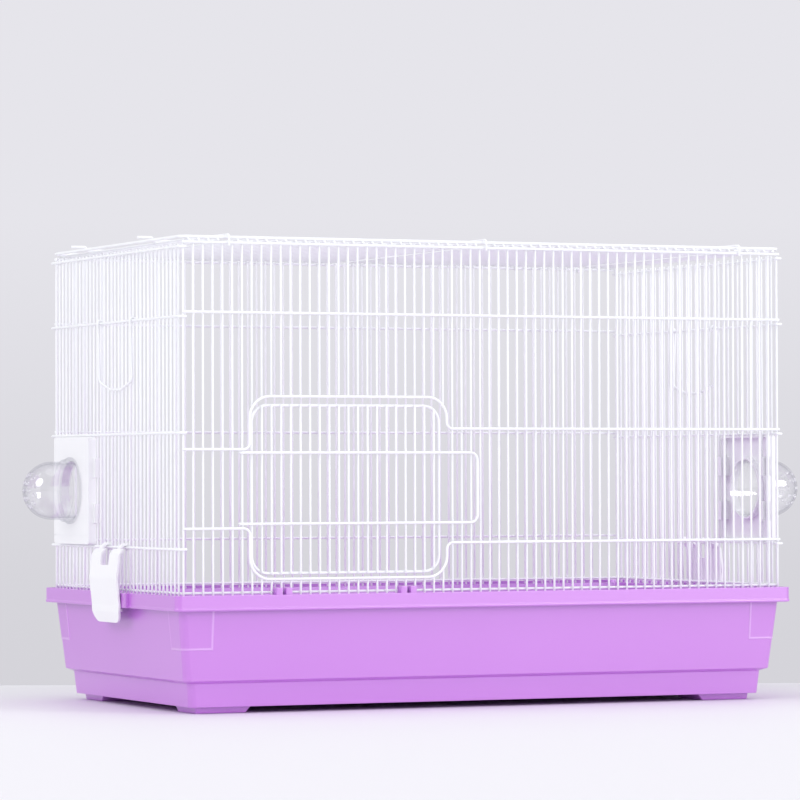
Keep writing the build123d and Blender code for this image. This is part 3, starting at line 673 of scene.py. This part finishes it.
# Clips: white plastic levers, moulded in one. Two fingers hang on the lower rail of the end panel, and
# a toe behind the bulged grip hooks under the catch on the tray's rim.
grip_x, bulge_x, finger_tip_x, finger_front_x, finger_root_x = -0.31255, -0.31515, -0.29951, -0.30491, -0.3087
finger_tip_z, finger_top_z, shoulder_z, bulge_z = 0.1433, 0.1487, 0.1395, 0.118
notch_z, grip_z, toe_z, clip_bottom = 0.130, 0.094, 0.0876, 0.078
notch_y, finger_in_y, finger_out_y, clip_half = 0.011, 0.0203, 0.0267, 0.035
clip_wall, clip_corner, flick = 0.0024, 0.014, 0.0025
clip_bends = (0.0027, 0.0024, 0.0048, 0.0192, 0.0048, 0.0048)
toe_half, toe_reach, toe_top = 0.027, 0.0058, 0.0908
for end in ("left", "right"):
    bm = bmesh.new()
    across = [bm.verts.new((finger_tip_x, y, finger_tip_z)) for y in (
        -clip_half, -finger_out_y, -finger_in_y, -notch_y, notch_y, finger_in_y, finger_out_y, clip_half)]
    edges = [bm.edges.new(pair) for pair in zip(across, across[1:])]
    strip = Bender(bm, edges, (finger_tip_x, 0, finger_tip_z), (0, 0, 1))
    strip.follow([(x, 0, z) for x, z in (
        (finger_tip_x, finger_top_z), (finger_front_x, finger_top_z), (grip_x, shoulder_z), (bulge_x, bulge_z),
        (grip_x, grip_z), (grip_x, toe_z), (grip_x + flick, clip_bottom))], clip_bends)
    close_seams(bm)
    cut_across(bm, (0, 0, notch_z), (0, 0, 1))
    cut_across(bm, (finger_root_x, 0, 0), (1, 0, 0))
    for side in (-1, 1):
        centre = Vector((0, side * (clip_half - clip_corner), clip_bottom + clip_corner))
        for turn in (10, 25, 40, 55, 70, 85):
            normal = Vector((0, side * math.sin(math.radians(turn)), -math.cos(math.radians(turn))))
            cut_across(bm, centre + normal * clip_corner, normal, trim=True)
    gone = []
    for face in bm.faces:
        centre = face.calc_center_median()
        in_finger = finger_in_y < abs(centre.y) < finger_out_y
        beside_finger = centre.x > finger_root_x and not in_finger
        if centre.z > notch_z and (beside_finger or abs(centre.y) < notch_y):
            gone.append(face)
    bmesh.ops.delete(bm, geom=gone, context="FACES")
    bmesh.ops.recalc_face_normals(bm, faces=bm.faces)
    bm.normal_update()
    for vert in bm.verts:
        vert.co -= vert.normal * (clip_wall / 2)
    bmesh.ops.solidify(bm, geom=bm.faces[:], thickness=-clip_wall)
    bmesh.ops.recalc_face_normals(bm, faces=bm.faces)
    soften(bm, sharp_edges(bm, 50), 0.0005)
    block(bm, (grip_x, -toe_half, toe_z), (grip_x + toe_reach, toe_half, toe_top), 0.0006)
    bmesh.ops.translate(bm, verts=bm.verts, vec=(0, fitting_y, 0))
    at_end(bm, end)
    cage_piece(end + "_clip_lever", bm, white_plastic, end + "_clip", [end + "_clip"])


# Roof panel: cross wires with a thick border wire and two stays welded on top of them. Three long wires
# over the border hook on the front top rail and loop round the back one, which is the hinge.
frame_wire = 0.0028
cross_z, roof_z, hook_z, stay_z, stay_top_z = 0.4190, 0.42141, 0.42382, 0.42121, 0.42431
roof_half, roof_corner, cross_half = 0.3, 0.006, 0.168
hook_y, hook_drop, hook_corner, loop_radius, loop_degrees = 0.16971, 0.010, 0.0032, 0.0025, 200
stay_y, stay_tip_x, stay_jog_x, stay_corner = 0.087, 0.311, 0.2964, 0.0015
roof_bead, bead_shift = (0.0013, 0.0013, 0.0009), 0.001
hook_spaces = (4, 31, 59)


def ring_wire(node, points, corner, body):
    """A closed wire with its ends butt-welded where it starts, halfway along the first run."""
    bm = bmesh.new()
    wire = feed_wire(bm, points[-1], (1, 0, 0), frame_wire, closed=True)
    wire.follow(points, [corner] * 4)
    close_seams(bm)
    wire_piece(node, bm, body)


ring_wire("roof_border", [(x, y, roof_z) for x, y in (
    (roof_half, -panel_y), (roof_half, panel_y), (-roof_half, panel_y), (-roof_half, -panel_y),
    (0, -panel_y))], roof_corner, "roof")
bm = bmesh.new()
for space in range(upright_count - 1):
    if space in hook_spaces:
        continue
    x = front_x(space + 0.5)
    straight_wire(bm, (x, -cross_half, cross_z), (x, cross_half, cross_z), upright_wire)
    for y in (-panel_y, -stay_y, panel_y, stay_y):
        weld(bm, (x, y, cross_z + bead_shift), roof_bead)
wire_piece("roof_cross_wires", bm, "roof")
bm = bmesh.new()
for space in hook_spaces:
    x = front_x(space + 0.5)
    wire = feed_wire(bm, (x, -hook_y, hook_z - hook_drop), (0, 0, 1), upright_wire)
    wire.follow([(x, -hook_y, hook_z), (x, hook_y, hook_z), (x, hook_y, top_z)], (hook_corner, hook_corner))
    wire.turn(-loop_degrees, loop_radius, (1, 0, 0))
    wire.cut_off()
    for y in (-panel_y, panel_y):
        weld(bm, (x, y, hook_z - bead_shift), roof_bead)
wire_piece("roof_hook_wires", bm, "roof")
bm = bmesh.new()
for y in (-stay_y, stay_y):
    wire = feed_wire(bm, (-stay_tip_x, y, stay_top_z), (1, 0, 0), rail_wire)
    wire.follow([(x, y, z) for x, z in (
        (-stay_jog_x, stay_top_z), (-stay_jog_x, stay_z), (stay_jog_x, stay_z), (stay_jog_x, stay_top_z),
        (stay_tip_x, stay_top_z))], [stay_corner] * 4)
    wire.cut_off()
wire_piece("roof_stays", bm, "roof")


# Front door: a bent frame with its own uprights welded on the front. One long U of wire across them is
# the hinge, curled round an upright at its two ends, and the spring latch beyond the doorway.
door_left, door_right, door_bottom, door_top = -0.2322, -0.0498, 0.124, 0.273
door_middle_x, door_corner = -0.141, 0.015
door_frame_y, door_upright_y, bar_y = -0.16288, -0.16529, -0.1675
frame_bead_y, bar_bead_y = -0.1643, -0.1663
bar_upper_z, bar_lower_z, bar_tip_x, bar_corner = 0.231, 0.168, -0.0132, 0.007
hinge_x, hinge_curl, hinge_curl_degrees = -0.2418, 0.0025, 230
ring_wire("door_frame", [(x, door_frame_y, z) for x, z in (
    (door_right, door_bottom), (door_right, door_top), (door_left, door_top), (door_left, door_bottom),
    (door_middle_x, door_bottom))], door_corner, "door")
bm = bmesh.new()
for number in range(8, 27):
    x = front_x(number)
    sill = arch(x, door_left, door_right, door_bottom, door_corner, -1)
    head = arch(x, door_left, door_right, door_top, door_corner, 1)
    straight_wire(bm, (x, door_upright_y, sill), (x, door_upright_y, head), upright_wire)
    for z in (sill, head):
        weld(bm, (x, frame_bead_y, z), long_panel_bead)
    for z in (bar_upper_z, bar_lower_z):
        weld(bm, (x, bar_bead_y, z), long_panel_bead)
wire_piece("door_uprights", bm, "door")
bm = bmesh.new()
start_turn = math.radians(-90 - hinge_curl_degrees)
start = (hinge_x + hinge_curl * math.cos(start_turn), -panel_y + hinge_curl * math.sin(start_turn), bar_upper_z)
wire = feed_wire(bm, start, (-math.sin(start_turn), math.cos(start_turn), 0), rail_wire)
wire.turn(hinge_curl_degrees, hinge_curl, (0, 0, 1))
wire.follow([(bar_tip_x, bar_y, bar_upper_z), (bar_tip_x, bar_y, bar_lower_z), (hinge_x, bar_y, bar_lower_z)],
            (bar_corner, bar_corner))
wire.turn(-hinge_curl_degrees, hinge_curl, (0, 0, 1))
wire.cut_off()
wire_piece("door_latch_wire", bm, "door")


# Studio: a white table whose far edge is just behind the cage, a pale grey wall beyond it, and soft
# lamps. The camera stands low, at the front left.
table_edge, wall_end = 0.29, 9.0
low_wall, mid_wall = screen_colour(213, 212, 218), screen_colour(216, 215, 221)
high_wall = screen_colour(230, 229, 235)
table_white, nodes = new_finish("table_white")
place = nodes.node("TexCoord", output="Object")
depth = nodes.node("VectorMath", {"operation": "DOT_PRODUCT"}, {0: place, 1: (0.409, 0.912, 0)}, output="Value")
# Farther back the table's colour falls from the near white to a greyer white: painted shade for the light
# falling off towards its far edge.
far = nodes.node("MapRange", sockets={"Value": depth, "From Min": -0.24, "From Max": 0.28})
colour = nodes.mix(far, screen_colour(241, 239, 244), screen_colour(230, 229, 233))
table = nodes.node("BsdfPrincipled", sockets={
    "Base Color": colour, "Roughness": 0.6, "Specular IOR Level": 0.1})
away = nodes.node("MapRange", sockets={"Value": depth, "From Min": table_edge, "From Max": wall_end})
wall = nodes.node("Emission", sockets={"Color": nodes.mix(away, low_wall, mid_wall), "Strength": 1.0})
surface = nodes.node("MixShader", sockets={0: depth > table_edge, 1: table, 2: wall})
nodes.node("OutputMaterial", sockets={"Surface": surface})
bm = bmesh.new()
bmesh.ops.create_grid(bm, x_segments=2, y_segments=2, size=wall_end)
table_mesh = bpy.data.meshes.new("table")
bm.to_mesh(table_mesh)
bm.free()
table_mesh.materials.append(table_white)
table_top = bpy.data.objects.new("table", table_mesh)
scene.collection.objects.link(table_top)

studio = bpy.data.worlds.new("studio")
studio.use_nodes = True
studio.node_tree.nodes.clear()
scene.world = studio
nodes = Shade(studio.node_tree)
sight = nodes.node("TexCoord", output="Generated")
level = nodes.node("SeparateXYZ", sockets={"Vector": sight}, output="Z")
rise = nodes.node("MapRange", sockets={"Value": level, "From Min": -0.0162, "From Max": 0.06})
seen = nodes.node("LightPath", output="Is Camera Ray")
for ray in ("Is Glossy Ray", "Is Transmission Ray"):
    seen = nodes.maths("MAXIMUM", seen, nodes.node("LightPath", output=ray))
wall = nodes.node("Background", sockets={"Color": nodes.mix(rise, mid_wall, high_wall), "Strength": 1.0})
fill = nodes.node("Background", sockets={"Color": (0.97, 0.98, 1.0, 1), "Strength": 0.86})
surface = nodes.node("MixShader", sockets={0: seen, 1: fill, 2: wall})
nodes.node("OutputWorld", sockets={"Surface": surface})


def soft_lamp(name, side, strength, spread):
    """A far, wide lamp, so that the light is even over the whole table."""
    lamp = bpy.data.lights.new(name, "SUN")
    lamp.energy = strength
    lamp.angle = math.radians(spread)
    stand = bpy.data.objects.new(name, lamp)
    stand.rotation_mode = "QUATERNION"
    stand.rotation_quaternion = (-Vector(side)).to_track_quat("-Z", "Y")
    scene.collection.objects.link(stand)


soft_lamp("right_lamp", (0.60, -0.79, 0.30), 0.85, 20)
soft_lamp("left_lamp", (-3.0, -0.6, 1.8), 0.63, 30)
soft_lamp("top_lamp", (0, -0.2, 2.0), 0.2, 42)

yaw, pitch, roll = math.radians(-24.15), math.radians(1.02), math.radians(-0.17)
ahead = Vector((-math.sin(yaw) * math.cos(pitch), math.cos(yaw) * math.cos(pitch), math.sin(pitch)))
rightwards = Vector((math.cos(yaw), math.sin(yaw), 0))
upwards = rightwards.cross(ahead)
turned_right = rightwards * math.cos(roll) + upwards * math.sin(roll)
turned_up = upwards * math.cos(roll) - rightwards * math.sin(roll)
lens = bpy.data.cameras.new("camera")
lens.sensor_width = 36
lens.lens = 192.1
lens.clip_end = 100
camera = bpy.data.objects.new("camera", lens)
aim = Matrix((turned_right, turned_up, -ahead)).transposed()
camera.matrix_world = Matrix.Translation((-1.658, -3.6648, 0.20998)) @ aim.to_4x4()
scene.collection.objects.link(camera)
scene.camera = camera
